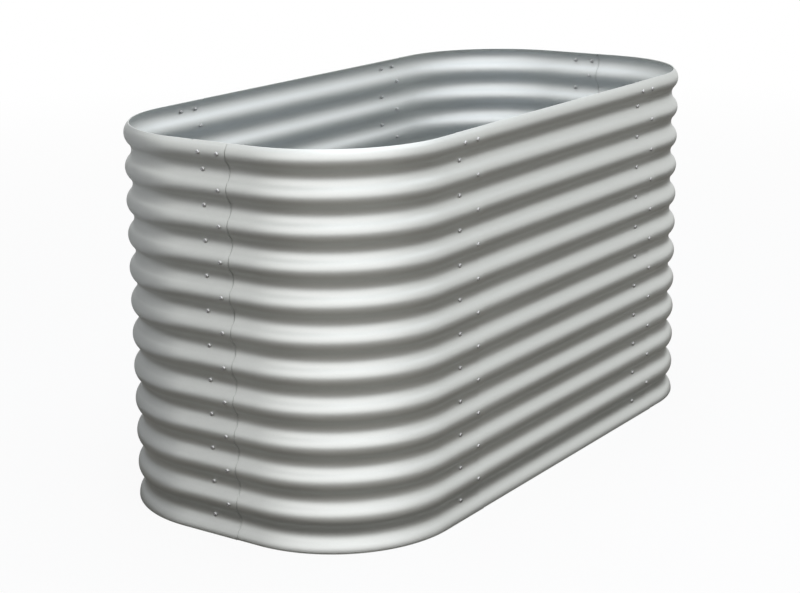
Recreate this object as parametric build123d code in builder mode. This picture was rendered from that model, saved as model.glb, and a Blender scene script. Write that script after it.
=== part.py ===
"""Raised garden bed: six corrugated steel panels lapped and bolted into an open ring.

Millimetres. The origin is on the ground at the middle of the bed, +X runs along the bed
and +Z is up. Walking round the outside with the wall on the left, each panel starts tucked
under the panel before it and ends lapped over the panel after it.
"""
import os
from math import asin, cos, degrees, hypot, radians, sin, sqrt

from build123d import *

# Overall size, outside the crests of the corrugations
LENGTH = 1600.0
WIDTH = 786.0

# Corrugated sheet
SHEET = 0.8  # thickness of the steel
PITCH = 76.0  # from one crest to the next
DEPTH = 16.0  # over the sheet, from crest to valley
CRESTS = 12  # crests up the height of the wall
FOOT = 1.0  # the cut lower edge lies this far under the lowest crest
LIP = 3.25  # the sheet carries on this far above the middle of its topmost flank

# Folded rim, a safety edge turned to the inside
FOLD_GAP = 0.8  # between the wall and the turned part
FOLD_RETURN = 9.0  # length of the turned part, down from the rim
FOLD_RELIEF = 4.0  # the fold stops this far short of a sheet that it laps over

# Panels and their laps
CORNER_LEG = 105.0  # straight run of a corner panel, from the bend to the lap's middle
COLUMN_SPACING = 50.0  # between a lap's two columns of bolts
EDGE_MARGIN = 21.0  # from a column of bolts to the nearest sheet edge
NEST_GAP = 0.1  # between two nested sheets, on the steep flanks

# M5 bolts with washers and nuts
SHANK = 5.0
HOLE_GAP = 0.25  # all round, between a bolt and the sheets
BOLT_LENGTH = 10.0
HEAD = 10.0
HEAD_HEIGHT = 2.8
HEAD_ROUNDING = 2.2
DRIVE_WIDTH = 4.6  # cross recess in the head, tip to tip
DRIVE_SLOT = 1.1
DRIVE_DEPTH = 1.5
TIP_CHAMFER = 0.5
WASHER = 10.0
WASHER_GAP = 0.15  # all round, between a bolt and its washer
WASHER_THICKNESS = 1.0
NUT_FLATS = 8.0
NUT_HEIGHT = 4.0
THREAD_GAP = 0.05  # all round, between the bolt and its nut
SEAT_GAP = 0.05  # between a head or a washer and the sheet that it bears on

# The corrugation is equal arcs that meet on the flanks, where the sheet is steepest.
wave_height = DEPTH - SHEET
wave_angle = degrees(2 * asin(2 * wave_height / hypot(2 * wave_height, PITCH)))
wave_radius = PITCH / 4 / sin(radians(wave_angle))
wave_centre = wave_radius - wave_height / 2
lip_angle = degrees(asin((PITCH / 4 - LIP) / wave_radius))

# Nested sheets touch on the flanks, so they stand further apart than the sheet is thick.
nest_offset = (SHEET + NEST_GAP) / cos(radians(wave_angle))
lap = COLUMN_SPACING + 2 * EDGE_MARGIN

# Plan of the wall's middle, half way between crests and valleys
half_length = LENGTH / 2 - DEPTH / 2 - nest_offset / 2
half_width = WIDTH / 2 - DEPTH / 2 - nest_offset / 2
bend_radius = half_width - CORNER_LEG
lap_x = half_length - bend_radius - CORNER_LEG

# Each lap as a plane: its origin on the ground in the middle of the lap, x along the wall
# towards the outer sheet's edge, y up and z straight out of the bed.
LAPS = {
    "left_end": Plane((-half_length, 0, 0), x_dir=(0, -1, 0), z_dir=(-1, 0, 0)),
    "front_left": Plane((-lap_x, -half_width, 0), x_dir=(1, 0, 0), z_dir=(0, -1, 0)),
    "front_right": Plane((lap_x, -half_width, 0), x_dir=(1, 0, 0), z_dir=(0, -1, 0)),
    "right_end": Plane((half_length, 0, 0), x_dir=(0, 1, 0), z_dir=(1, 0, 0)),
    "back_right": Plane((lap_x, half_width, 0), x_dir=(-1, 0, 0), z_dir=(0, 1, 0)),
    "back_left": Plane((-lap_x, half_width, 0), x_dir=(-1, 0, 0), z_dir=(0, 1, 0)),
}


def crest_height(crest):
    """Height of a crest above the ground, counted from 0 at the bottom."""
    return FOOT + crest * PITCH


def valley_height(crest):
    """Height of the valley above that crest."""
    return crest_height(crest) + PITCH / 2


def polar(centre, radius, angle):
    """The point at that radius and angle, in degrees, from the centre."""
    return Vector(centre) + Vector(radius, 0).rotate(Axis.Z, angle)


def sheet_arc(centre, radius, start, turn):
    """Draw an arc from `start` degrees through `turn` degrees, and return it."""
    return ThreePointArc(*(polar(centre, radius, start + turn * share) for share in (0, 0.5, 1)))


def crest_centre(crest):
    """Centre of the arc round that crest, on the inner side of the wall."""
    return (-wave_centre, crest_height(crest))


def valley_centre(crest):
    """Centre of the arc round the valley above that crest, on the outer side of the wall."""
    return (wave_centre, valley_height(crest))


def wall_line(offset):
    """Draw the line that lies `offset` outside the sheet's middle, from the foot to the lip."""
    foot_angle = -degrees(asin(FOOT / (wave_radius + offset)))
    for crest in range(CRESTS):
        start = foot_angle if crest == 0 else -wave_angle
        turn = wave_angle - lip_angle if crest == CRESTS - 1 else 2 * wave_angle
        sheet_arc(crest_centre(crest), wave_radius + offset, start, wave_angle - start)
        sheet_arc(valley_centre(crest), wave_radius - offset, 180 + wave_angle, -turn)


def fold_line(offset):
    """Draw the same kind of line down the turned part of the rim, and return its low end."""
    on_lip = min(FOLD_RETURN, wave_radius * radians(wave_angle - lip_angle))
    on_crest = FOLD_RETURN - on_lip
    low_end = sheet_arc(valley_centre(CRESTS - 1), wave_radius - offset, 180 + lip_angle,
                        degrees(on_lip / wave_radius))
    if on_crest > 0:
        low_end = sheet_arc(crest_centre(CRESTS - 1), wave_radius + offset, wave_angle,
                            -degrees(on_crest / wave_radius))
    return low_end @ 1


def foot_point(offset):
    """Where the line at `offset` meets the ground."""
    return (sqrt((wave_radius + offset) ** 2 - FOOT**2) - wave_centre, 0)


def lip_point(offset):
    """Where the line at `offset` reaches the lip."""
    return polar(valley_centre(CRESTS - 1), wave_radius - offset, 180 + lip_angle)


def panel_section(place, folded):
    """Cross-section of a panel: x is out of the bed from the wall's middle, y is up."""
    outer_face = SHEET / 2
    inner_face = -SHEET / 2
    turned_outer = inner_face - FOLD_GAP
    turned_inner = turned_outer - SHEET
    fold_centre = (inner_face + turned_outer) / 2
    with BuildSketch(place) as section:
        with BuildLine():
            wall_line(outer_face)
            wall_line(inner_face)
            Line(foot_point(outer_face), foot_point(inner_face))
            if folded:
                for face in (outer_face, inner_face):
                    sheet_arc(lip_point(fold_centre), face - fold_centre, lip_angle, 180)
                Line(fold_line(turned_outer), fold_line(turned_inner))
            else:
                Line(lip_point(outer_face), lip_point(inner_face))
        make_face()
    return section.sketch


def crest_seats():
    """Bolts on crests: one column by the outer sheet's edge, and one more under the rim."""
    column = [(COLUMN_SPACING / 2, crest_height(crest)) for crest in range(1, CRESTS)]
    return column + [(-COLUMN_SPACING / 2, crest_height(CRESTS - 1))]


def valley_seats():
    """Bolts in valleys: one column by the inner sheet's edge."""
    return [(-COLUMN_SPACING / 2, valley_height(crest)) for crest in range(CRESTS - 1)]


def straight_run(place, along, length, folded=True):
    """Add a straight stretch of sheet to the panel, from the section plane `place`."""
    extrude(panel_section(place, folded), amount=length, dir=along)


def drill(lap_plane):
    """Cut a lap's bolt holes through the panel."""
    with BuildSketch(lap_plane) as holes:
        with Locations(*crest_seats(), *valley_seats()):
            Circle(SHANK / 2 + HOLE_GAP)
    extrude(holes.sketch, amount=DEPTH, both=True, mode=Mode.SUBTRACT)


def section_plane(origin, outwards):
    """Upright plane across a wall, with x out of the bed and y up."""
    return Plane(origin, x_dir=outwards, z_dir=outwards.cross(Vector(0, 0, 1)))


def corner_panel(start, end):
    """Add a panel that turns a quarter round the bed, under lap `start` and over lap `end`."""
    shift = nest_offset / 2
    bend = Axis(
        start.from_local_coords((CORNER_LEG + shift, 0, -bend_radius - shift)), (0, 0, 1)
    )
    bend_start = section_plane(start.from_local_coords((CORNER_LEG + shift, 0, -shift)), start.z_dir)
    bend_end = section_plane(end.from_local_coords((shift - CORNER_LEG, 0, shift)), end.z_dir)
    fold_end = section_plane(
        end.from_local_coords((-lap / 2 - FOLD_RELIEF, 0, shift)), end.z_dir
    )
    folded_run = CORNER_LEG - shift - lap / 2 - FOLD_RELIEF
    straight_run(bend_start, -start.x_dir, CORNER_LEG + shift + lap / 2)
    revolve(panel_section(bend_start, True), axis=bend, revolution_arc=90)
    straight_run(bend_end, end.x_dir, folded_run)
    straight_run(fold_end, end.x_dir, lap + FOLD_RELIEF, folded=False)


def side_panel(start, end):
    """Add a straight panel, slightly turned so that it goes under one lap and over the next."""
    shift = nest_offset / 2
    first = start.from_local_coords((0, 0, -shift))
    last = end.from_local_coords((0, 0, shift))
    along = (last - first).normalized()
    outwards = along.cross(Vector(0, 0, 1))
    span = (last - first).length
    straight_run(section_plane(first - along * lap / 2, outwards), along, span - FOLD_RELIEF)
    straight_run(
        section_plane(last - along * (lap / 2 + FOLD_RELIEF), outwards),
        along,
        lap + FOLD_RELIEF,
        folded=False,
    )


def sagitta(width):
    """How far a flat disc of that width stands off the hollow of a corrugation."""
    hollow = wave_radius - SHEET / 2
    return hollow - sqrt(hollow**2 - (width / 2) ** 2)


# Seats as groups of points in a lap's plane, with how far out of the wall's middle the
# underside of the heads, or the outer face of the washers, lies.
stack = SHEET / 2 + nest_offset / 2 + SEAT_GAP
head_seats = [
    (crest_seats(), wave_height / 2 + stack),
    (valley_seats(), -wave_height / 2 + stack + sagitta(HEAD)),
]
washer_seats = [
    (crest_seats(), wave_height / 2 - stack - sagitta(WASHER)),
    (valley_seats(), -wave_height / 2 - stack),
]

PANELS = {
    "corner_panel_front_left": ("left_end", "front_left"),
    "side_panel_front": ("front_left", "front_right"),
    "corner_panel_front_right": ("front_right", "right_end"),
    "corner_panel_back_right": ("right_end", "back_right"),
    "side_panel_back": ("back_right", "back_left"),
    "corner_panel_back_left": ("back_left", "left_end"),
}

os.makedirs("parts", exist_ok=True)

# Panels
for panel_name, (start_lap, end_lap) in PANELS.items():
    with BuildPart() as panel:
        if panel_name.startswith("corner"):
            corner_panel(LAPS[start_lap], LAPS[end_lap])
        else:
            side_panel(LAPS[start_lap], LAPS[end_lap])
        drill(LAPS[start_lap])
        drill(LAPS[end_lap])
    panel.part.label = panel_name
    export_step(panel.part, f"parts/{panel_name}.step")

# Bolts, washers and nuts, one group of each to a lap
for lap_name, lap_plane in LAPS.items():
    with BuildPart() as bolts:
        for points, seat in head_seats:
            crown = lap_plane.offset(seat + HEAD_HEIGHT)
            with BuildSketch(lap_plane.offset(seat)) as heads:
                with Locations(*points):
                    Circle(HEAD / 2)
            group = extrude(heads.sketch, amount=HEAD_HEIGHT)
            fillet(group.edges().group_by(Axis(crown.origin, crown.z_dir))[-1], HEAD_ROUNDING)
            with BuildSketch(crown) as drives:
                with Locations(*points):
                    Rectangle(DRIVE_WIDTH, DRIVE_SLOT)
                    Rectangle(DRIVE_SLOT, DRIVE_WIDTH)
            extrude(drives.sketch, amount=-DRIVE_DEPTH, mode=Mode.SUBTRACT)
            with BuildSketch(lap_plane.offset(seat)) as shanks:
                with Locations(*points):
                    Circle(SHANK / 2)
            group = extrude(shanks.sketch, amount=-BOLT_LENGTH)
            chamfer(group.edges().group_by(Axis(crown.origin, crown.z_dir))[0], TIP_CHAMFER)
    bolts.part.label = f"bolts_{lap_name}"
    export_step(bolts.part, f"parts/bolts_{lap_name}.step")

    with BuildPart() as washers:
        for points, seat in washer_seats:
            with BuildSketch(lap_plane.offset(seat)) as rings:
                with Locations(*points):
                    Circle(WASHER / 2)
                    Circle(SHANK / 2 + WASHER_GAP, mode=Mode.SUBTRACT)
            extrude(rings.sketch, amount=-WASHER_THICKNESS)
    washers.part.label = f"washers_{lap_name}"
    export_step(washers.part, f"parts/washers_{lap_name}.step")

    with BuildPart() as nuts:
        for points, seat in washer_seats:
            with BuildSketch(lap_plane.offset(seat - WASHER_THICKNESS)) as hexagons:
                with Locations(*points):
                    RegularPolygon(NUT_FLATS / 2, 6, major_radius=False)
                    Circle(SHANK / 2 + THREAD_GAP, mode=Mode.SUBTRACT)
            extrude(hexagons.sketch, amount=-NUT_HEIGHT)
    nuts.part.label = f"nuts_{lap_name}"
    export_step(nuts.part, f"parts/nuts_{lap_name}.step")
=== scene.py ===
# %% [markdown]
# # A corrugated garden bed
#
# This bed is six sheets of corrugated steel, bent and bolted into a ring with rounded corners.
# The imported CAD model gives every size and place. This script gives the sheets and their
# bolts their finish: it sweeps each sheet anew with smooth curves, puts detailed bolts
# through it, and makes the satin metal coating. Work through the cells in order.

# %% Load the frame
from math import asin, cos, degrees, hypot, pi, radians, sin, sqrt

import bmesh
import bpy
from mathutils import Matrix, Vector


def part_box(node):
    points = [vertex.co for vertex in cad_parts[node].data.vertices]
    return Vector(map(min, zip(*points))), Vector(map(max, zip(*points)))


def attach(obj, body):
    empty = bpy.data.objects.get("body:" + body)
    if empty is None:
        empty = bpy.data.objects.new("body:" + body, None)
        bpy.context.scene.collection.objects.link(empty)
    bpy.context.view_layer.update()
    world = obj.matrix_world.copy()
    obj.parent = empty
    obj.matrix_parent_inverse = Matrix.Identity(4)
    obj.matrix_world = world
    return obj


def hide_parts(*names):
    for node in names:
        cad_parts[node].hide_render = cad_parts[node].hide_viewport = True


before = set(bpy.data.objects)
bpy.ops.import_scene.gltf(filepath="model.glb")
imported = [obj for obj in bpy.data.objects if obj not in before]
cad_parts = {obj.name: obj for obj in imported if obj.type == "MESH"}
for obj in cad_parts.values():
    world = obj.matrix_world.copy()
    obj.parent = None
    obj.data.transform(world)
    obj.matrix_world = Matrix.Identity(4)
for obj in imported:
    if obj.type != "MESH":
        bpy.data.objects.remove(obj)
bpy.context.view_layer.update()
print("nodes:", ", ".join(sorted(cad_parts)))

# %% [markdown]
# ## Sizes
#
# Blender works in metres, so millimetre sizes are written with a factor. A few sizes belong
# to the sheet itself, such as its thickness and the pitch of its waves. The size of the bed
# and the places of the laps are read from the boxes of the CAD nodes, so they can't drift.

# %% Sizes of the sheet
MM = 0.001
SHEET = 0.8 * MM  # thickness of the steel
PITCH = 76 * MM  # from one crest to the next
DEPTH = 16 * MM  # over the sheet, from crest to valley
CRESTS = 12
FOOT = 1 * MM  # the lower edge lies this far under the lowest crest
LIP = 3.25 * MM  # the sheet carries on this far above the middle of its topmost flank
FOLD_GAP = 0.8 * MM  # between the wall and the turned rim
FOLD_RETURN = 9 * MM  # length of the turned part
FOLD_RELIEF = 4 * MM  # the fold stops this far short of a sheet that it laps over
CORNER_LEG = 105 * MM  # straight run of a corner sheet, from the bend to the lap's middle
COLUMN_SPACING = 50 * MM  # between the two columns of bolts in a lap
NEST_GAP = 0.1 * MM  # between two nested sheets, on the steep flanks
SPRING = 0.35 * MM  # the free edges of a lap stand off this far
SAG = 0.45 * MM  # and the one outside hangs down this far
SPRING_RUN = 14 * MM  # over this length beyond the bolts
OVERSHOOT = 2 * MM  # a plan runs on this far past its sheet, so that cuts go right through
SHANK_RADIUS = 2.5 * MM
HOLE_GAP = 0.25 * MM  # all round, between a bolt and the sheets

wave_height = DEPTH - SHEET
wave_angle = 2 * asin(2 * wave_height / hypot(2 * wave_height, PITCH))
wave_radius = PITCH / 4 / sin(wave_angle)
lip_angle = asin((PITCH / 4 - LIP) / wave_radius)
nest_offset = (SHEET + NEST_GAP) / cos(wave_angle)
print(f"the flanks lean {degrees(wave_angle):.1f} degrees, arc radius {wave_radius / MM:.2f} mm")

# %% Places of the walls and laps, from the frame
side_low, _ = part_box("side_panel_front")
_, corner_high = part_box("corner_panel_front_left")
_, right_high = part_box("corner_panel_front_right")
half_length = right_high[0] - DEPTH / 2 - nest_offset / 2
half_width = -side_low[1] - DEPTH / 2 - nest_offset / 2
lap = corner_high[0] - side_low[0]
lap_x = -(corner_high[0] + side_low[0]) / 2
bend_radius = half_width - CORNER_LEG
print(f"walls at x {half_length / MM:.1f} and y {half_width / MM:.1f} mm")
print(f"laps {lap / MM:.1f} mm wide at x {lap_x / MM:.1f} mm, bends {bend_radius / MM:.1f} mm")

# %% [markdown]
# ## Laps
#
# A lap is where two sheets overlap and are bolted together. Each one gets a place on the
# ground, in the middle of the wall, and a heading: the direction, as an angle about Z, that
# runs along the wall with the outside of the bed on the right. Every panel starts tucked
# under the lap behind it and ends over the lap in front, so one rule places all six. Beyond
# the last bolts a thin sheet springs off its neighbour by a hair, and that makes the seam.

# %% Laps and panels
LAPS = {
    "left_end": (Vector((-half_length, 0, 0)), -pi / 2),
    "front_left": (Vector((-lap_x, -half_width, 0)), 0),
    "front_right": (Vector((lap_x, -half_width, 0)), 0),
    "right_end": (Vector((half_length, 0, 0)), pi / 2),
    "back_right": (Vector((lap_x, half_width, 0)), pi),
    "back_left": (Vector((-lap_x, half_width, 0)), pi),
}
PANELS = {
    "corner_panel_front_left": ("left_end", "front_left"),
    "side_panel_front": ("front_left", "front_right"),
    "corner_panel_front_right": ("front_right", "right_end"),
    "corner_panel_back_right": ("right_end", "back_right"),
    "side_panel_back": ("back_right", "back_left"),
    "corner_panel_back_left": ("back_left", "left_end"),
}


def at_lap(name, along, outwards):
    """The point that far along a lap's heading and that far out of the wall's middle."""
    place, heading = LAPS[name]
    return place + Matrix.Rotation(heading, 3, "Z") @ Vector((along, -outwards, 0))


def panel_corners(start, end):
    """The corners of a panel's plan, from its free edge inside to its free edge outside."""
    shift = nest_offset / 2
    run_on = 1 + OVERSHOOT / SPRING_RUN
    points = [
        at_lap(start, -lap / 2, -shift - SPRING),
        at_lap(start, SPRING_RUN - lap / 2, -shift),
        at_lap(end, lap / 2 - SPRING_RUN, shift),
        at_lap(end, lap / 2 + OVERSHOOT, shift + run_on * SPRING),
    ]
    if LAPS[start][1] != LAPS[end][1]:
        points.insert(2, at_lap(start, CORNER_LEG + shift + bend_radius, -shift))
    return points


for name, (start, end) in PANELS.items():
    print(name, [tuple(round(v / MM, 1) for v in p.xy) for p in panel_corners(start, end)])

# %% [markdown]
# ## Sums in node trees
#
# Both kinds of tree, geometry and shader, use the same Math nodes. Wrapping a socket in a
# small Python class lets a formula be written as a formula: `2 * radius + 1` adds its own
# Math nodes. Every other node comes from `Tree.node`, which applies the settings first,
# because they decide which sockets the node shows.


# %% A socket that can be added and multiplied
class Socket:
    """A node's output. Python's operators on it add Math nodes to its tree."""

    def __init__(self, tree, output):
        self.tree = tree
        self.output = output

    def __add__(self, other):
        return self.tree.math("ADD", self, other)

    def __radd__(self, other):
        return self.tree.math("ADD", other, self)

    def __sub__(self, other):
        return self.tree.math("SUBTRACT", self, other)

    def __rsub__(self, other):
        return self.tree.math("SUBTRACT", other, self)

    def __mul__(self, other):
        return self.tree.math("MULTIPLY", self, other)

    def __rmul__(self, other):
        return self.tree.math("MULTIPLY", other, self)

    def __truediv__(self, other):
        return self.tree.math("DIVIDE", self, other)

    def __neg__(self):
        return self.tree.math("MULTIPLY", self, -1)

    def __abs__(self):
        return self.tree.math("ABSOLUTE", self)

    def __lt__(self, other):
        return self.tree.math("LESS_THAN", self, other)

    def __gt__(self, other):
        return self.tree.math("GREATER_THAN", self, other)


# %% A tree that makes its own nodes
class Tree:
    """A node tree that is written as Python."""

    def __init__(self, node_tree):
        self.nodes = node_tree.nodes
        self.links = node_tree.links

    def math(self, operation, *values):
        """Add a Math node on these values, which may be sockets or numbers."""
        return self.node("ShaderNodeMath", {"operation": operation}, dict(enumerate(values)))

    def node(self, kind, settings=None, sockets=None, output=0):
        """Add a node, apply its settings, feed its sockets, and return one of its outputs."""
        node = self.nodes.new(kind)
        for setting, value in (settings or {}).items():
            setattr(node, setting, value)
        for key, value in (sockets or {}).items():
            socket = self.find(node.inputs, key)
            for item in value if isinstance(value, list) else [value]:
                if isinstance(item, Socket):
                    self.links.new(item.output, socket)
                else:
                    socket.default_value = item
        return Socket(self, self.find(node.outputs, output)) if node.outputs else None

    def find(self, sockets, key):
        """The shown socket with that name or place in the list."""
        shown = [socket for socket in sockets if socket.enabled]
        if isinstance(key, int):
            return shown[key]
        return next(socket for socket in shown if socket.name == key)


# %% [markdown]
# ## The coating
#
# The sheet has a satin coating of zinc and aluminium. Close up it is a fine spangle of
# crystals, drawn out a little along the rolling direction, with soft streaks where the rolls
# ran. The sheet map, metres along the panel and up its section, lets the streaks follow the
# sheet round the bends. It runs up the inner face first, so one comparison makes that face
# slightly duller. The same comparison also gives it a lighter, bluer colour, which is painted
# light standing in for the cool light inside the bed. Only the colour, the roughness and the
# normal vary.

# %% Helpers for the finishes
def new_material(name):
    """Make an empty material and return it with the writer of its tree."""
    material = bpy.data.materials.new(name)
    material.use_nodes = True
    material.node_tree.nodes.clear()
    return material, Tree(material.node_tree)


def scaled_map(tree, place, scales):
    """A map whose two directions are scaled apart."""
    return tree.node("ShaderNodeVectorMath", {"operation": "MULTIPLY"}, {0: place, 1: (*scales, 1)})


def noise(tree, place, scale, detail, dimensions="2D"):
    """A soft pattern between 0 and 1."""
    return tree.node("ShaderNodeTexNoise", {"noise_dimensions": dimensions}, {
        "Vector": place, "Scale": scale, "Detail": detail,
    })


def grey_scaled(tree, colour, level):
    """A colour times a level that changes over the surface."""
    grey = tree.node("ShaderNodeCombineXYZ", sockets={0: level, 1: level, 2: level})
    return tree.node("ShaderNodeVectorMath", {"operation": "MULTIPLY"}, {0: grey, 1: colour})


def varied(middle, *patterns):
    """A level round its middle value, from pairs of a pattern and how far it swings."""
    for pattern, swing in patterns:
        middle = middle + swing * (pattern - 0.5)
    return middle


# %% The coated sheet
SHEET_MAP = "sheet"  # metres along the panel and up its section
SHEET_COLOUR = (0.575, 0.59, 0.57, 1)
SHEET_ROUGHNESS = 0.49
# painted light: the inner face is lighter and bluer than the outer one, for the cool light inside the
# bed
INNER_FACE_PAINTED_LIGHT_COLOUR = (0.592, 0.612, 0.604, 1)
INNER_DULLNESS = 0.08  # what the inner face adds to the roughness
SPANGLE = 3 * MM  # size of the coating's crystals
SPANGLE_STRETCH = (1, 1.4)
STREAK_STRETCH = (3, 160)  # waves of noise a metre, along the sheet and up its section
STREAK_DETAIL = 3
CLOUD_SCALE = 4  # waves of noise a metre
CLOUD_DETAIL = 2
COATING_BUMP = 0.05 * MM
COATING_BUMP_SHARE = 0.15

wall_run = FOOT + wave_radius * ((2 * CRESTS - 1) * 2 * wave_angle - lip_angle)
inner_face_end = wall_run + FOLD_RETURN / 2  # on the sheet map, out of sight in the fold


def make_coated_sheet():
    """Satin zinc-aluminium coating on a rolled sheet, duller on the inner face, where painted cool
    light makes it lighter and bluer.
    """
    material, tree = new_material("coated_sheet")
    place = tree.node("ShaderNodeUVMap", {"uv_map": SHEET_MAP})
    inner = tree.node("ShaderNodeSeparateXYZ", sockets={0: place}, output="Y") < inner_face_end
    # Painted light: the inner face takes a lighter, bluer colour for the cool light inside the bed.
    colour = tree.node("ShaderNodeMix", {"data_type": "RGBA"}, {
        "Factor": inner, "A": SHEET_COLOUR, "B": INNER_FACE_PAINTED_LIGHT_COLOUR,
    }, output="Result")
    spangle = tree.node("ShaderNodeTexVoronoi", {"voronoi_dimensions": "2D"}, {
        "Vector": scaled_map(tree, place, SPANGLE_STRETCH), "Scale": 1 / SPANGLE,
    }, output="Color")
    crystal = tree.node("ShaderNodeSeparateXYZ", sockets={0: spangle})
    streak = noise(tree, scaled_map(tree, place, STREAK_STRETCH), 1, STREAK_DETAIL)
    cloud = noise(tree, place, CLOUD_SCALE, CLOUD_DETAIL)
    level = varied(1, (crystal, 0.04), (streak, 0.04), (cloud, 0.05))
    dullness = SHEET_ROUGHNESS + INNER_DULLNESS * inner
    roughness = varied(dullness, (crystal, 0.05), (streak, 0.05), (cloud, 0.08))
    bump = tree.node("ShaderNodeBump", sockets={
        "Strength": COATING_BUMP_SHARE, "Distance": COATING_BUMP,
        "Height": 0.4 * crystal + 0.5 * streak,
    })
    shader = tree.node("ShaderNodeBsdfPrincipled", sockets={
        "Base Color": grey_scaled(tree, colour, level), "Metallic": 1.0,
        "Roughness": roughness, "Normal": bump,
    })
    tree.node("ShaderNodeOutputMaterial", sockets={"Surface": shader})
    return material


coated_sheet = make_coated_sheet()
print(f"the sheet runs {wall_run / MM:.0f} mm up its waves to the fold")
print(coated_sheet.name, "has", len(coated_sheet.node_tree.nodes), "nodes")

# %% [markdown]
# ## The zinc of the fasteners
#
# Bolts, washers and nuts are zinc plated. On such small pieces only patches of duller and
# brighter metal show, so one noise in the object's own space is enough.

# %% The zinc
FASTENER_COLOUR = (0.51, 0.515, 0.515)
FASTENER_ROUGHNESS = 0.38
PATCH_SCALE = 400  # waves of noise a metre
PATCH_DETAIL = 2


def make_zinc_fastener():
    """Zinc plating, a little duller in patches."""
    material, tree = new_material("zinc_fastener")
    place = tree.node("ShaderNodeTexCoord", output="Object")
    patch = noise(tree, place, PATCH_SCALE, PATCH_DETAIL, "3D")
    shader = tree.node("ShaderNodeBsdfPrincipled", sockets={
        "Base Color": grey_scaled(tree, FASTENER_COLOUR, varied(1, (patch, 0.2))),
        "Metallic": 1.0, "Roughness": varied(FASTENER_ROUGHNESS, (patch, 0.12)),
    })
    tree.node("ShaderNodeOutputMaterial", sockets={"Surface": shader})
    return material


zinc_fastener = make_zinc_fastener()
print(zinc_fastener.name, "has", len(zinc_fastener.node_tree.nodes), "nodes")

# %% [markdown]
# ## A geometry tree with named inputs
#
# A Geometry Nodes tree is only worth having if its sizes can be changed from outside. The
# helper below makes a tree from a list of named inputs. A modifier knows its inputs by
# identifier, not by name, so the sizes are looked up that way, and they are all set before
# Blender evaluates the object for the first time. The result is then turned into a plain
# mesh, and the modifier goes.

# %% Trees with named inputs
GEOMETRY = "NodeSocketGeometry"
LENGTH = "NodeSocketFloat"
COUNT = "NodeSocketInt"
VECTOR = "NodeSocketVector"
OBJECT = "NodeSocketObject"
MATERIAL = "NodeSocketMaterial"


def new_geometry_tree(name, inputs):
    """Make a geometry tree with these inputs, and return it, its writer and its input sockets."""
    group = bpy.data.node_groups.new(name, "GeometryNodeTree")
    group.is_modifier = True
    for label, kind in {"Geometry": GEOMETRY, **inputs}.items():
        group.interface.new_socket(label, in_out="INPUT", socket_type=kind)
    group.interface.new_socket("Geometry", in_out="OUTPUT", socket_type=GEOMETRY)
    tree = Tree(group)
    group_input = group.nodes.new("NodeGroupInput")
    sockets = {s.name: Socket(tree, s) for s in group_input.outputs if s.name}
    return group, tree, sockets


# %% How a tree ends, and its result as a plain mesh
SHARP_EDGE = radians(35)  # a sharper fold than this shows as an edge


def smoothed(tree, mesh):
    """Shade a mesh as smooth, apart from its sharp edges."""
    smooth = tree.node("GeometryNodeSetShadeSmooth", {"domain": "FACE"}, {"Geometry": mesh})
    fold = tree.node("GeometryNodeInputMeshEdgeAngle")
    return tree.node("GeometryNodeSetShadeSmooth", {"domain": "EDGE"}, {
        "Geometry": smooth, "Selection": fold > SHARP_EDGE, "Shade Smooth": False,
    })


def finish_tree(tree, geometry, material):
    """End a geometry tree: real geometry, then its material, then the group's output."""
    real = tree.node("GeometryNodeRealizeInstances", sockets={"Geometry": geometry})
    coated = tree.node("GeometryNodeSetMaterial", sockets={"Geometry": real, "Material": material})
    tree.node("NodeGroupOutput", sockets={"Geometry": coated})


def grown(name, data, group, values):
    """Run a geometry tree on an object with this data, and return the result as a plain mesh."""
    seed = bpy.data.objects.new(name + "_seed", data)
    bpy.context.collection.objects.link(seed)
    modifier = seed.modifiers.new(group.name, "NODES")
    modifier.node_group = group
    identifiers = {
        item.name: item.identifier
        for item in group.interface.items_tree
        if item.item_type == "SOCKET" and item.in_out == "INPUT"
    }
    for label, value in values.items():
        modifier[identifiers[label]] = value
    evaluated = seed.evaluated_get(bpy.context.evaluated_depsgraph_get())
    mesh = bpy.data.meshes.new_from_object(evaluated)
    mesh.name = name
    # The tree's own material is the only one that stays.
    for slot in reversed(range(len(mesh.materials))):
        if mesh.materials[slot] is None:
            mesh.materials.pop(index=slot)
    bpy.data.objects.remove(seed)
    piece = bpy.data.objects.new(name, mesh)
    bpy.context.collection.objects.link(piece)
    return piece


# %% [markdown]
# ## The section of a sheet
#
# A corrugated sheet is rolled as equal arcs that meet on the flanks, so any point of its
# section follows from one number, the wave: 0 on the lowest crest, 1 in the valley above it,
# 2 on the next crest. The rim is folded to the inside as a safety edge, so the section goes
# up the wall, half a turn round the fold and a little way down again. Its outline is that
# line twice, once on each face of the steel. In it, x is out of the bed and y is down.


# %% The section as nodes
def wave_terms(tree, size):
    """The radius and half angle of the arcs, and the height of a crest over the middle."""
    rise = size["Depth"] - size["Thickness"]
    angle = 2 * tree.math("ARCTAN2", 2 * rise, size["Pitch"])
    radius = size["Pitch"] / 4 / tree.math("SINE", angle)
    return radius, angle, rise / 2


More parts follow.
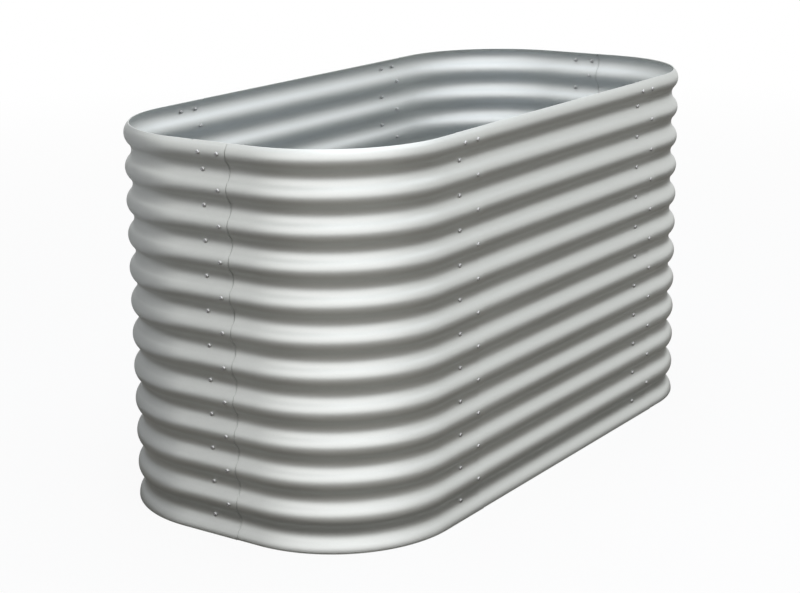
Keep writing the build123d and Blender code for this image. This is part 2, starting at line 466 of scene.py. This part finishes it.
def sheet_section(tree, size, first_step=0, margin=0):
    """The closed outline of the sheet's section, from that step on, with a margin all round."""
    radius, angle, half_rise = wave_terms(tree, size)
    lip = tree.math("ARCSINE", (size["Pitch"] / 4 - size["Lip"]) / radius)
    lowest = -1 * size["Foot"] / radius / (2 * angle)
    highest = 2 * size["Crests"] - 1 - lip / (2 * angle)

    # Each point of the outline is a step up the wall, and then on round the fold.
    wall_steps = 2 * size["Crests"] * size["Steps per arc"]
    points = wall_steps + 2 * size["Fold steps"] + 1 - first_step
    line = tree.node("GeometryNodeCurvePrimitiveLine")
    outline = tree.node("GeometryNodeResampleCurve", sockets={"Curve": line, "Count": 2 * points})
    middle = points - 0.5
    past_middle = tree.node("GeometryNodeInputIndex") - middle
    step = first_step + middle - abs(past_middle)
    face = 2 * (past_middle > 0) - 1

    # The wave of that step, and how far the sheet has turned over there
    climbed = tree.node("ShaderNodeClamp", sockets={"Value": step / wall_steps})
    beyond_wall = (step - wall_steps) / size["Fold steps"]
    turn = pi * tree.node("ShaderNodeClamp", sockets={"Value": beyond_wall})
    returned = tree.math("MAXIMUM", beyond_wall - 1, 0) * (size["Fold return"] + margin)
    wave = lowest + (highest - lowest) * climbed - returned / radius / (2 * angle)

    # The middle of the sheet on its arc, with the direction out of the bed there
    arc = tree.math("ROUND", wave)
    phi = (wave - arc) * 2 * angle
    crest_or_valley = 1 - 2 * tree.math("FLOORED_MODULO", arc, 2)
    out_x = tree.math("COSINE", phi)
    out_up = crest_or_valley * tree.math("SINE", phi)
    x = crest_or_valley * (radius * out_x - radius + half_rise)
    height = size["Foot"] + arc * size["Pitch"] / 2 + radius * tree.math("SINE", phi)

    # Half the sheet's thickness to the face, turned over about the middle of the fold
    fold_radius = (size["Fold gap"] + size["Thickness"]) / 2
    reach = fold_radius + face * (size["Thickness"] / 2 + margin)
    outwards = reach * tree.math("COSINE", turn) - fold_radius
    upwards = reach * tree.math("SINE", turn)
    x = x + outwards * out_x - upwards * out_up
    height = tree.math("MAXIMUM", height + outwards * out_up + upwards * out_x, 0)
    place = tree.node("ShaderNodeCombineXYZ", sockets={"X": x, "Y": -height})
    outline = tree.node("GeometryNodeSetPosition", sockets={"Geometry": outline, "Position": place})
    return tree.node("GeometryNodeSetSplineCyclic", sockets={"Geometry": outline, "Cyclic": True})


# %% [markdown]
# ## Bolt seats
#
# A lap has a bolt on every crest in one column and in every valley in the other, and one more
# high up under the rim. The same seats place the holes, the bolts, the washers and the nuts,
# so they are one function that all the trees call.


# %% Seats of the bolts at one lap
def lap_seats(tree, size, crest_reach, valley_reach):
    """Points in a lap's own frame, where x runs along the wall and -y points out of the bed."""
    column = size["Column spacing"] / 2
    top_crest = size["Foot"] + (size["Crests"] - 1) * size["Pitch"]
    rows = (
        (size["Crests"] - 1, column, crest_reach, size["Foot"] + size["Pitch"]),
        (size["Crests"] - 1, -column, valley_reach, size["Foot"] + size["Pitch"] / 2),
        (1, -column, crest_reach, top_crest),
    )
    lines = []
    for count, along, reach, height in rows:
        start = tree.node("ShaderNodeCombineXYZ", sockets={"X": along, "Y": -1 * reach, "Z": height})
        step = tree.node("ShaderNodeCombineXYZ", sockets={"Z": size["Pitch"]})
        lines.append(tree.node("GeometryNodeMeshLine", sockets={
            "Count": count, "Start Location": start, "Offset": step,
        }))
    return tree.node("GeometryNodeJoinGeometry", sockets={"Geometry": lines})


def placed_at_lap(tree, geometry, place, heading):
    """Bring geometry from a lap's own frame to where the lap is."""
    turn = tree.node("ShaderNodeCombineXYZ", sockets={"Z": heading})
    return tree.node("GeometryNodeTransform", sockets={
        "Geometry": geometry, "Translation": place, "Rotation": turn,
    })


print("bolts in each lap:", 2 * (CRESTS - 1) + 1)

# %% [markdown]
# ## The corrugated sheets
#
# Each panel is its section swept along its plan, a line of corners that are rounded to the
# bend's radius. Sweeping beats modelling a flat wall and bending it, because the waves keep
# their exact shape all the way round. Where the panel laps over its neighbour, its free edge
# hangs down by a hair. There its fold is cut away too, by a cutter that is the fold's own
# section made a little thicker and swept along that stretch. The bolt holes are cut with
# cylinders, all in one boolean.

# %% Sweeping a section along a path
def measured(tree, curve, name):
    """Write the length along a curve on its points, which a sweep hands on to its mesh."""
    length = tree.node("GeometryNodeSplineParameter", output="Length")
    return tree.node("GeometryNodeStoreNamedAttribute", {"domain": "POINT", "data_type": "FLOAT"}, {
        "Geometry": curve, "Name": name, "Value": length,
    })


def read_attribute(tree, name):
    """A number that an earlier node has written on the geometry."""
    return tree.node("GeometryNodeInputNamedAttribute", {"data_type": "FLOAT"}, {"Name": name})


def swept(tree, section, path):
    """The section swept along the path, as a closed skin with a map of the sheet on it."""
    skin = tree.node("GeometryNodeCurveToMesh", sockets={
        "Curve": path, "Profile Curve": measured(tree, section, "up"), "Fill Caps": True,
    })
    place = tree.node("ShaderNodeCombineXYZ", sockets={
        "X": read_attribute(tree, "along"), "Y": read_attribute(tree, "up"),
    })
    return tree.node("GeometryNodeStoreNamedAttribute", {"domain": "CORNER", "data_type": "FLOAT2"}, {
        "Geometry": skin, "Name": SHEET_MAP, "Value": place,
    })


def stretch(tree, path, start, end):
    """The part of a path between two lengths along it."""
    return tree.node("GeometryNodeTrimCurve", {"mode": "LENGTH"}, {
        "Curve": path, "Start": start, "End": end,
    })


# %% Letting the free edge sag
def sagged(tree, size, mesh, length):
    """Let a sheet of that length hang down at its free edge, but not into the ground."""
    past_bolts = (read_attribute(tree, "along") - length) / size["Sag run"] + 1
    drop = size["Sag"] * tree.node("ShaderNodeClamp", sockets={"Value": past_bolts})
    place = tree.node("GeometryNodeInputPosition")
    height = tree.node("ShaderNodeSeparateXYZ", sockets={0: place}, output="Z")
    down = tree.node("ShaderNodeCombineXYZ", sockets={"Z": -tree.math("MINIMUM", drop, height)})
    return tree.node("GeometryNodeSetPosition", sockets={"Geometry": mesh, "Offset": down})


# %% The tree of a panel
SHEET_INPUTS = {
    "Thickness": LENGTH, "Pitch": LENGTH, "Depth": LENGTH, "Crests": COUNT, "Foot": LENGTH,
    "Lip": LENGTH, "Fold gap": LENGTH, "Fold return": LENGTH, "Bend radius": LENGTH,
    "Lap": LENGTH, "Fold relief": LENGTH, "Column spacing": LENGTH, "Hole radius": LENGTH,
    "Start lap": VECTOR, "Start heading": LENGTH, "End lap": VECTOR, "End heading": LENGTH,
    "Steps per arc": COUNT, "Fold steps": COUNT, "Bend steps": COUNT, "Path step": LENGTH,
    "Overshoot": LENGTH, "Sag": LENGTH, "Sag run": LENGTH, "Material": MATERIAL,
}
HOLE_SIDES = 12
CUT_MARGIN = 0.2 * MM  # the fold's cutter is this much larger than the fold, all round


def panel_tree():
    """Make the tree that turns the corners of a panel's plan into its sheet."""
    group, tree, size = new_geometry_tree("corrugated_panel", SHEET_INPUTS)
    rounded = tree.node("GeometryNodeFilletCurve", {"mode": "POLY"}, {
        "Curve": size["Geometry"], "Count": size["Bend steps"], "Radius": size["Bend radius"],
    })
    path = tree.node("GeometryNodeResampleCurve", {"mode": "LENGTH"}, {
        "Curve": rounded, "Length": size["Path step"],
    })
    path = tree.node("GeometryNodeSetCurveNormal", {"mode": "Z_UP"}, {"Curve": path})
    path = measured(tree, path, "along")
    beyond = tree.node("GeometryNodeCurveLength", sockets={"Curve": path})
    length = beyond - size["Overshoot"]
    sheet = swept(tree, sheet_section(tree, size), stretch(tree, path, 0, length))
    sheet = sagged(tree, size, sheet, length)

    # What comes off: the fold over the lap, and the bolt holes of both laps
    fold_end = length - size["Lap"] - size["Fold relief"]
    whole_wall = 2 * size["Crests"] * size["Steps per arc"]
    fold = tree.node("GeometryNodeCurveToMesh", sockets={
        "Curve": stretch(tree, path, fold_end, beyond),
        "Profile Curve": sheet_section(tree, size, whole_wall, CUT_MARGIN), "Fill Caps": True,
    })
    fold = sagged(tree, size, fold, length)
    drill = tree.node("GeometryNodeMeshCylinder", sockets={
        "Vertices": HOLE_SIDES, "Radius": size["Hole radius"], "Depth": 2 * size["Depth"],
    })
    drills = tree.node("GeometryNodeInstanceOnPoints", sockets={
        "Points": lap_seats(tree, size, 0, 0), "Instance": drill, "Rotation": (pi / 2, 0, 0),
    })
    drills = tree.node("GeometryNodeRealizeInstances", sockets={"Geometry": drills})
    cuts = [
        fold,
        placed_at_lap(tree, drills, size["Start lap"], size["Start heading"]),
        placed_at_lap(tree, drills, size["End lap"], size["End heading"]),
    ]
    settings = {"operation": "DIFFERENCE", "solver": "MANIFOLD"}
    sheet = tree.node("GeometryNodeMeshBoolean", settings, {0: sheet, 1: cuts})
    finish_tree(tree, smoothed(tree, sheet), size["Material"])
    return group


panel_group = panel_tree()
print("panel tree:", len(panel_group.nodes), "nodes")

# %% [markdown]
# ## The six panels
#
# A plan is a curve object with only its corner points. The tree does the rest, so a panel
# costs one line of data and one call.

# %% Grow the six panels
STEPS_PER_ARC = 12
FOLD_STEPS = 8
BEND_STEPS = 90
PATH_STEP = 12 * MM


def plan_curve(name, points):
    """A curve of straight runs through these points."""
    curve = bpy.data.curves.new(name, "CURVE")
    curve.dimensions = "3D"
    spline = curve.splines.new("POLY")
    spline.points.add(len(points) - 1)
    for spline_point, place in zip(spline.points, points):
        spline_point.co = (*place, 1)
    return curve


def panel(name, start, end):
    """Grow one panel between its two laps."""
    sizes = {
        "Thickness": SHEET, "Pitch": PITCH, "Depth": DEPTH, "Crests": CRESTS, "Foot": FOOT,
        "Lip": LIP, "Fold gap": FOLD_GAP, "Fold return": FOLD_RETURN, "Bend radius": bend_radius,
        "Lap": lap, "Fold relief": FOLD_RELIEF, "Column spacing": COLUMN_SPACING,
        "Hole radius": SHANK_RADIUS + HOLE_GAP,
        "Start lap": LAPS[start][0], "Start heading": LAPS[start][1],
        "End lap": LAPS[end][0], "End heading": LAPS[end][1],
        "Steps per arc": STEPS_PER_ARC, "Fold steps": FOLD_STEPS,
        "Bend steps": BEND_STEPS, "Path step": PATH_STEP,
        "Overshoot": OVERSHOOT, "Sag": SAG, "Sag run": SPRING_RUN, "Material": coated_sheet,
    }
    piece = grown(name + "_sheet", plan_curve(name, panel_corners(start, end)), panel_group, sizes)
    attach(piece, "root")
    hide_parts(name)
    return piece


panels = [panel(name, start, end) for name, (start, end) in PANELS.items()]
for piece in panels:
    print(piece.name, len(piece.data.polygons), "faces")

# %% [markdown]
# ## Bolts, washers and nuts
#
# The sheets are held by small domed bolts with a cross recess, and inside by a washer and a
# nut. Each is one low mesh that the bed uses 138 times, so it has only as many faces as its
# outline needs. A turned shape is a list of radius and height pairs, made into rings about Z
# with the head up, and walls between the rings. Their seats repeat, so a second tree places
# them and turns each one by its own chance angle, as a spanner leaves them.

# %% Sizes of the fasteners
HEAD_RADIUS = 5 * MM
HEAD_HEIGHT = 2.8 * MM
HEAD_ROUNDING = 2.2 * MM
DRIVE_WIDTH = 4.6 * MM  # cross recess, tip to tip
DRIVE_SLOT = 1.1 * MM
DRIVE_DEPTH = 1.5 * MM
DRIVE_TAPER = 0.6  # the recess narrows to this share at its floor
BOLT_LENGTH = 10 * MM
TIP_CHAMFER = 0.5 * MM
WASHER_RADIUS = 5 * MM
WASHER_HOLE = SHANK_RADIUS + 0.15 * MM
WASHER_THICKNESS = 1 * MM
NUT_FLATS = 8 * MM
NUT_HOLE = SHANK_RADIUS + 0.05 * MM
NUT_HEIGHT = 4 * MM
NUT_CHAMFER = 0.4 * MM
SEAT_GAP = 0.05 * MM  # between a head or a washer and the sheet that it bears on
ROUND_SIDES = 16
DOME_RINGS = 3
print(f"bolt heads {2 * HEAD_RADIUS / MM:.0f} mm wide, nuts {NUT_FLATS / MM:.0f} mm over the flats")


# %% Rings, walls and flats
def ring(mesh, radius, height, sides=ROUND_SIDES):
    """Add a ring of vertices about Z."""
    angles = [2 * pi * side / sides for side in range(sides)]
    return [mesh.verts.new((radius * cos(a), radius * sin(a), height)) for a in angles]


def wall(mesh, lower, upper):
    """Join two rings of the same count with faces."""
    for here in range(len(lower)):
        after = (here + 1) % len(lower)
        mesh.faces.new((lower[here], lower[after], upper[after], upper[here]))


def filled_between(mesh, outer, inner):
    """Fill the flat area between two closed rings."""
    edges = []
    for loop in (outer, inner):
        for here, after in zip(loop, loop[1:] + loop[:1]):
            edges.append(mesh.edges.get((here, after)) or mesh.edges.new((here, after)))
    bmesh.ops.triangle_fill(mesh, use_beauty=True, edges=edges)


def pattern_object(name, mesh):
    """Finish a small mesh and keep it as an object for the trees to repeat."""
    bmesh.ops.recalc_face_normals(mesh, faces=mesh.faces)
    data = bpy.data.meshes.new(name)
    mesh.to_mesh(data)
    mesh.free()
    print(name, len(data.polygons), "faces")
    pattern = bpy.data.objects.new(name, data)
    bpy.context.collection.objects.link(pattern)
    return pattern


# %% A bolt
def cross_ring(mesh, share, height):
    """Add the outline of a cross recess, scaled about its middle."""
    tip = DRIVE_WIDTH / 2 * share
    side = DRIVE_SLOT / 2 * share
    arm = [(tip, -side), (tip, side), (side, side)]
    places = []
    for quarter in range(4):
        turn = Matrix.Rotation(quarter * pi / 2, 2)
        places += [turn @ Vector(place) for place in arm]
    return [mesh.verts.new((*place, height)) for place in places]


def bolt_pattern():
    """A domed bolt that bears at height 0, with its head up and its shank down."""
    mesh = bmesh.new()
    outline = [
        (SHANK_RADIUS - TIP_CHAMFER, -BOLT_LENGTH),
        (SHANK_RADIUS, TIP_CHAMFER - BOLT_LENGTH),
        (SHANK_RADIUS, 0),
        (HEAD_RADIUS, 0),
    ]
    for step in range(DOME_RINGS + 1):
        angle = pi / 2 * step / DOME_RINGS
        outline.append((
            HEAD_RADIUS - HEAD_ROUNDING * (1 - cos(angle)),
            HEAD_HEIGHT - HEAD_ROUNDING * (1 - sin(angle)),
        ))
    rings = [ring(mesh, radius, height) for radius, height in outline]
    mesh.faces.new(rings[0])
    for lower, upper in zip(rings, rings[1:]):
        wall(mesh, lower, upper)
    mouth = cross_ring(mesh, 1, HEAD_HEIGHT)
    floor = cross_ring(mesh, DRIVE_TAPER, HEAD_HEIGHT - DRIVE_DEPTH)
    filled_between(mesh, rings[-1], mouth)
    wall(mesh, mouth, floor)
    mesh.faces.new(floor)
    return pattern_object("bolt", mesh)


# %% A washer and a nut
def washer_pattern():
    """A flat washer that lies under height 0."""
    mesh = bmesh.new()
    outline = [
        (WASHER_HOLE, -WASHER_THICKNESS), (WASHER_RADIUS, -WASHER_THICKNESS),
        (WASHER_RADIUS, 0), (WASHER_HOLE, 0),
    ]
    rings = [ring(mesh, radius, height) for radius, height in outline]
    for lower, upper in zip(rings, rings[1:] + rings[:1]):
        wall(mesh, lower, upper)
    return pattern_object("washer", mesh)


def nut_pattern():
    """A hexagon nut that lies under height 0, with the corners of its free side taken off."""
    mesh = bmesh.new()
    corner = NUT_FLATS / 2 / cos(pi / 6)
    free = ring(mesh, corner - NUT_CHAMFER, -NUT_HEIGHT, 6)
    shoulder = ring(mesh, corner, NUT_CHAMFER - NUT_HEIGHT, 6)
    seat = ring(mesh, corner, 0, 6)
    bore_free = ring(mesh, NUT_HOLE, -NUT_HEIGHT)
    bore_seat = ring(mesh, NUT_HOLE, 0)
    wall(mesh, free, shoulder)
    wall(mesh, shoulder, seat)
    wall(mesh, bore_seat, bore_free)
    filled_between(mesh, free, bore_free)
    filled_between(mesh, seat, bore_seat)
    return pattern_object("nut", mesh)


# %% The tree that places fasteners at a lap
FASTENER_INPUTS = {
    "Fastener": OBJECT, "Pitch": LENGTH, "Crests": COUNT, "Foot": LENGTH,
    "Column spacing": LENGTH, "Crest reach": LENGTH, "Valley reach": LENGTH,
    "Lap": VECTOR, "Heading": LENGTH, "Seed": COUNT, "Material": MATERIAL,
}


def fastener_tree():
    """Make the tree that puts one fastener on every seat of a lap."""
    group, tree, size = new_geometry_tree("lap_fasteners", FASTENER_INPUTS)
    fastener = tree.node("GeometryNodeObjectInfo", sockets={
        "Object": size["Fastener"],
    }, output="Geometry")
    seats = lap_seats(tree, size, size["Crest reach"], size["Valley reach"])
    placed = tree.node("GeometryNodeInstanceOnPoints", sockets={
        "Points": seats, "Instance": fastener, "Rotation": (pi / 2, 0, 0),
    })
    chance = tree.node("FunctionNodeRandomValue", {"data_type": "FLOAT"}, {
        "Max": 2 * pi, "Seed": size["Seed"],
    })
    spin = tree.node("ShaderNodeCombineXYZ", sockets={"Z": chance})
    placed = tree.node("GeometryNodeRotateInstances", sockets={
        "Instances": placed, "Rotation": spin, "Local Space": True,
    })
    placed = tree.node("GeometryNodeRealizeInstances", sockets={"Geometry": placed})
    placed = placed_at_lap(tree, placed, size["Lap"], size["Heading"])
    finish_tree(tree, smoothed(tree, placed), size["Material"])
    return group


fastener_group = fastener_tree()
print("fastener tree:", len(fastener_group.nodes), "nodes")


# %% Grow the fasteners of all six laps
def sagitta(width):
    """How far a flat disc of that width stands off the hollow of a corrugation."""
    hollow = wave_radius - SHEET / 2
    return hollow - sqrt(hollow**2 - (width / 2) ** 2)


stack = SHEET / 2 + nest_offset / 2 + SEAT_GAP  # from the middle of a lap to its face
crest = wave_height / 2
washer_reach = (crest - stack - sagitta(2 * WASHER_RADIUS), -crest - stack)
FASTENERS = {
    "bolts": (bolt_pattern(), crest + stack, stack + sagitta(2 * HEAD_RADIUS) - crest),
    "washers": (washer_pattern(), *washer_reach),
    "nuts": (nut_pattern(), *[reach - WASHER_THICKNESS for reach in washer_reach]),
}


def fasteners(kind, lap_name, seed):
    """Grow one lap's bolts, washers or nuts."""
    pattern, crest_reach, valley_reach = FASTENERS[kind]
    sizes = {
        "Fastener": pattern, "Pitch": PITCH, "Crests": CRESTS, "Foot": FOOT,
        "Column spacing": COLUMN_SPACING, "Crest reach": crest_reach,
        "Valley reach": valley_reach, "Lap": LAPS[lap_name][0], "Heading": LAPS[lap_name][1],
        "Seed": seed, "Material": zinc_fastener,
    }
    name = f"{kind}_{lap_name}"
    piece = grown(name + "_set", bpy.data.meshes.new(name), fastener_group, sizes)
    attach(piece, "root")
    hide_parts(name)
    return piece


for kind in FASTENERS:
    for seed, lap_name in enumerate(LAPS):
        piece = fasteners(kind, lap_name, seed)
    print(kind, "at the last lap:", len(piece.data.polygons), "faces")
for pattern, *_ in FASTENERS.values():
    bpy.data.objects.remove(pattern)

# %% [markdown]
# ## The floor
#
# The floor has to look white and yet keep the bed's shadow. The Light Path node tells which
# rays show a background: those the eye sends, and those that come off metal or through
# glass. For them the floor is mostly a plain white glow, which costs no extra lamp, with a
# small share of a lit floor that carries the shadow. Far from the bed that share goes, so
# the floor runs into the white world without a horizon.

# %% Lay the floor
WHITE = (1, 1, 1, 1)
FLOOR_SIZE = 40
FLOOR_COLOUR = (0.92, 0.92, 0.92, 1)
FLOOR_WHITENESS = 0.9  # the glow's share near the bed
FLOOR_NEAR = 1.5  # it starts to grow this far from the middle
FLOOR_FAR = 6  # and is the whole from here on


def background_rays(tree):
    """1 for rays that show the background: seen directly, in a reflection or through glass."""
    camera_ray = tree.node("ShaderNodeLightPath", output="Is Camera Ray")
    glossy_ray = tree.node("ShaderNodeLightPath", output="Is Glossy Ray")
    clear_ray = tree.node("ShaderNodeLightPath", output="Is Transmission Ray")
    return tree.math("MINIMUM", camera_ray + glossy_ray + clear_ray, 1)


def stage_object(name, mesh, material):
    """Finish a mesh as a part of the stage."""
    data = bpy.data.meshes.new(name)
    mesh.to_mesh(data)
    mesh.free()
    data.materials.append(material)
    made = bpy.data.objects.new(name, data)
    bpy.context.collection.objects.link(made)
    return made


def make_floor():
    """A wide floor that looks white, but keeps a part of the shadow near the bed."""
    material, tree = new_material("white_floor")
    lit = tree.node("ShaderNodeBsdfDiffuse", sockets={"Color": FLOOR_COLOUR})
    white = tree.node("ShaderNodeEmission", sockets={"Color": WHITE, "Strength": 1})
    place = tree.node("ShaderNodeTexCoord", output="Object")
    distance = tree.node("ShaderNodeVectorMath", {"operation": "LENGTH"}, {0: place}, output="Value")
    whiteness = tree.node("ShaderNodeMapRange", sockets={
        "Value": distance, "From Min": FLOOR_NEAR, "From Max": FLOOR_FAR,
        "To Min": FLOOR_WHITENESS, "To Max": 1,
    })
    floor = tree.node("ShaderNodeMixShader", sockets={
        0: background_rays(tree) * whiteness, 1: lit, 2: white,
    })
    tree.node("ShaderNodeOutputMaterial", sockets={"Surface": floor})
    mesh = bmesh.new()
    bmesh.ops.create_grid(mesh, x_segments=1, y_segments=1, size=FLOOR_SIZE / 2)
    return stage_object("floor", mesh, material)


make_floor()
print("the floor is", FLOOR_SIZE, "m wide and white from", FLOOR_FAR, "m on")

# %% [markdown]
# ## Cards for the metal to mirror
#
# Bare metal shows its surroundings, so its look is mostly a matter of what stands round it.
# Matt cards lie round the bed, as a studio puts them. The camera can't see them, but the
# undersides of the waves mirror them, and that gives a corrugated sheet its dark bands. The
# card in front of the near corner is lighter than the wide one, and the one inside the bed
# is lighter still. Those at the foot of the wall and behind the left end are darker. A flag,
# a card that stands upright, is behind that end, so that the bend falls off towards its far
# side.

# %% Cards
CARD_HEIGHT = 1 * MM  # a card lies this far over the one below it
OUTLINE_STEPS = 64


def disc(radius, middle):
    """The outline of a disc on the floor."""
    angles = [2 * pi * step / OUTLINE_STEPS for step in range(OUTLINE_STEPS)]
    return [Vector(middle) + radius * Vector((cos(a), sin(a), 0)) for a in angles]


def wall_outline(inset, height):
    """An outline on the floor that follows the wall, that far inside its middle."""
    corner = Vector((half_length - bend_radius, half_width - bend_radius, 0))
    places = []
    for step in range(OUTLINE_STEPS):
        angle = 2 * pi * (step + 0.5) / OUTLINE_STEPS
        side = Vector((cos(angle), sin(angle), 0))
        bend = Vector([c if s > 0 else -c for c, s in zip(corner, side)])
        places.append(bend + (bend_radius - inset) * side + Vector((0, 0, height)))
    return places


def standing(low_x, high_x, y, height):
    """The outline of an upright rectangle that stands on the floor."""
    return [
        Vector((low_x, y, CARD_HEIGHT)), Vector((high_x, y, CARD_HEIGHT)),
        Vector((high_x, y, height)), Vector((low_x, y, height)),
    ]


def make_card(name, colour, outline):
    """A matt card that only reflections see."""
    material, tree = new_material(name)
    card = tree.node("ShaderNodeBsdfDiffuse", sockets={"Color": (*colour, 1)})
    tree.node("ShaderNodeOutputMaterial", sockets={"Surface": card})
    mesh = bmesh.new()
    mesh.faces.new([mesh.verts.new(place) for place in outline])
    made = stage_object(name, mesh, material)
    made.visible_camera = False
    made.visible_diffuse = False
    made.visible_shadow = False
    made.visible_transmission = False
    return made


# %% Place the cards
CARDS = {
    "outer_card": ((0.22, 0.201, 0.175), disc(radius=7, middle=(0, 0, CARD_HEIGHT))),
    "front_card": ((0.36, 0.338, 0.303), disc(radius=1.3, middle=(-1.5, -1.4, 2 * CARD_HEIGHT))),
    "rear_card": ((0.16, 0.15, 0.135), disc(radius=1.1, middle=(-1.4, 1.5, 2 * CARD_HEIGHT))),
    "rear_flag": ((0.55, 0.55, 0.55), standing(low_x=-1.9, high_x=-0.25, y=1.1, height=1.3)),
    "foot_card": ((0.14, 0.13, 0.115), wall_outline(inset=-0.07, height=3 * CARD_HEIGHT)),
    "inner_card": ((0.58, 0.62, 0.67), wall_outline(inset=0.02, height=4 * CARD_HEIGHT)),
}
for name, (colour, outline) in CARDS.items():
    make_card(name, colour, outline)
    print(name, "with", len(outline), "corners, colour", colour)

# %% [markdown]
# ## The light
#
# The world is white where it is seen or mirrored, and a low level of light where it only
# lights. A wide soft box in front draws the bright patch on the near corner. A cooler one
# overhead reaches the walls inside.

# %% The world and the soft boxes
AMBIENT = 0.3
AIM = Vector((0, 0, 0.45))  # about the middle of the bed


def make_world():
    """White where it is seen, and a plain level of light where it only lights."""
    world = bpy.data.worlds.new("studio")
    bpy.context.scene.world = world
    world.use_nodes = True
    world.node_tree.nodes.clear()
    tree = Tree(world.node_tree)
    seen = tree.node("ShaderNodeBackground", sockets={"Color": WHITE, "Strength": 1})
    lighting = tree.node("ShaderNodeBackground", sockets={"Color": WHITE, "Strength": AMBIENT})
    both = tree.node("ShaderNodeMixShader", sockets={0: background_rays(tree), 1: lighting, 2: seen})
    tree.node("ShaderNodeOutputWorld", sockets={"Surface": both})


def soft_box(name, azimuth, elevation, distance, size, radiance, colour):
    """A rectangular lamp that looks that bright, aimed at the bed from those angles."""
    data = bpy.data.lights.new(name, "AREA")
    data.shape = "RECTANGLE"
    data.size, data.size_y = size
    data.energy = radiance * pi * size[0] * size[1]
    data.color = colour
    level = Vector((cos(radians(azimuth)), sin(radians(azimuth)), 0))
    towards = cos(radians(elevation)) * level + sin(radians(elevation)) * Vector((0, 0, 1))
    lamp = bpy.data.objects.new(name, data)
    lamp.location = AIM + distance * towards
    lamp.rotation_euler = towards.to_track_quat("Z", "Y").to_euler()
    lamp.visible_camera = False
    bpy.context.collection.objects.link(lamp)
    print(name, "gives", round(data.energy, 1), "W")
    return lamp


make_world()
soft_box(
    "front_box", azimuth=-142, elevation=30, distance=3.6, size=(7.8, 3.5),
    radiance=0.72, colour=(1, 0.98, 1.02),
)
soft_box(
    "overhead_box", azimuth=-15, elevation=82, distance=3.4, size=(5, 5),
    radiance=1.3, colour=(0.93, 0.985, 1.07),
)
bpy.context.scene.view_settings.view_transform = "Standard"

# %% [markdown]
# ## The camera
#
# The camera stands off the left end of the bed, a little above the rim, with a long lens. It
# is turned by three angles, which are easier to read than a matrix, and the matrix is made
# from the directions that they give. The frame is shifted down a little on the sensor.

# %% Camera
CAMERA_PLACE = Vector((-3.5917, -2.3932, 1.5227))
CAMERA_YAW = radians(34.465)  # from +X towards +Y
CAMERA_DROP = radians(13.322)  # below the horizon
CAMERA_ROLL = radians(-0.642)
SENSOR_WIDTH = 36  # this and the lens are in millimetres
LENS = 81.75
SHIFT_UP = -0.075  # a share of the sensor's width

camera_data = bpy.data.cameras.new("camera")
camera_data.sensor_width = SENSOR_WIDTH
camera_data.lens = LENS
camera_data.shift_y = SHIFT_UP
camera = bpy.data.objects.new("camera", camera_data)
bpy.context.collection.objects.link(camera)
bpy.context.scene.camera = camera

level_ahead = Vector((cos(CAMERA_YAW), sin(CAMERA_YAW), 0))
ahead = cos(CAMERA_DROP) * level_ahead - sin(CAMERA_DROP) * Vector((0, 0, 1))
level_right = Vector((sin(CAMERA_YAW), -cos(CAMERA_YAW), 0))
level_up = level_right.cross(ahead)
right = cos(CAMERA_ROLL) * level_right + sin(CAMERA_ROLL) * level_up
up = cos(CAMERA_ROLL) * level_up - sin(CAMERA_ROLL) * level_right
camera_axes = Matrix((right, up, -ahead)).transposed().to_4x4()
camera.matrix_world = Matrix.Translation(CAMERA_PLACE) @ camera_axes
print(f"the camera is {(CAMERA_PLACE - AIM).length:.2f} m from the middle of the bed")
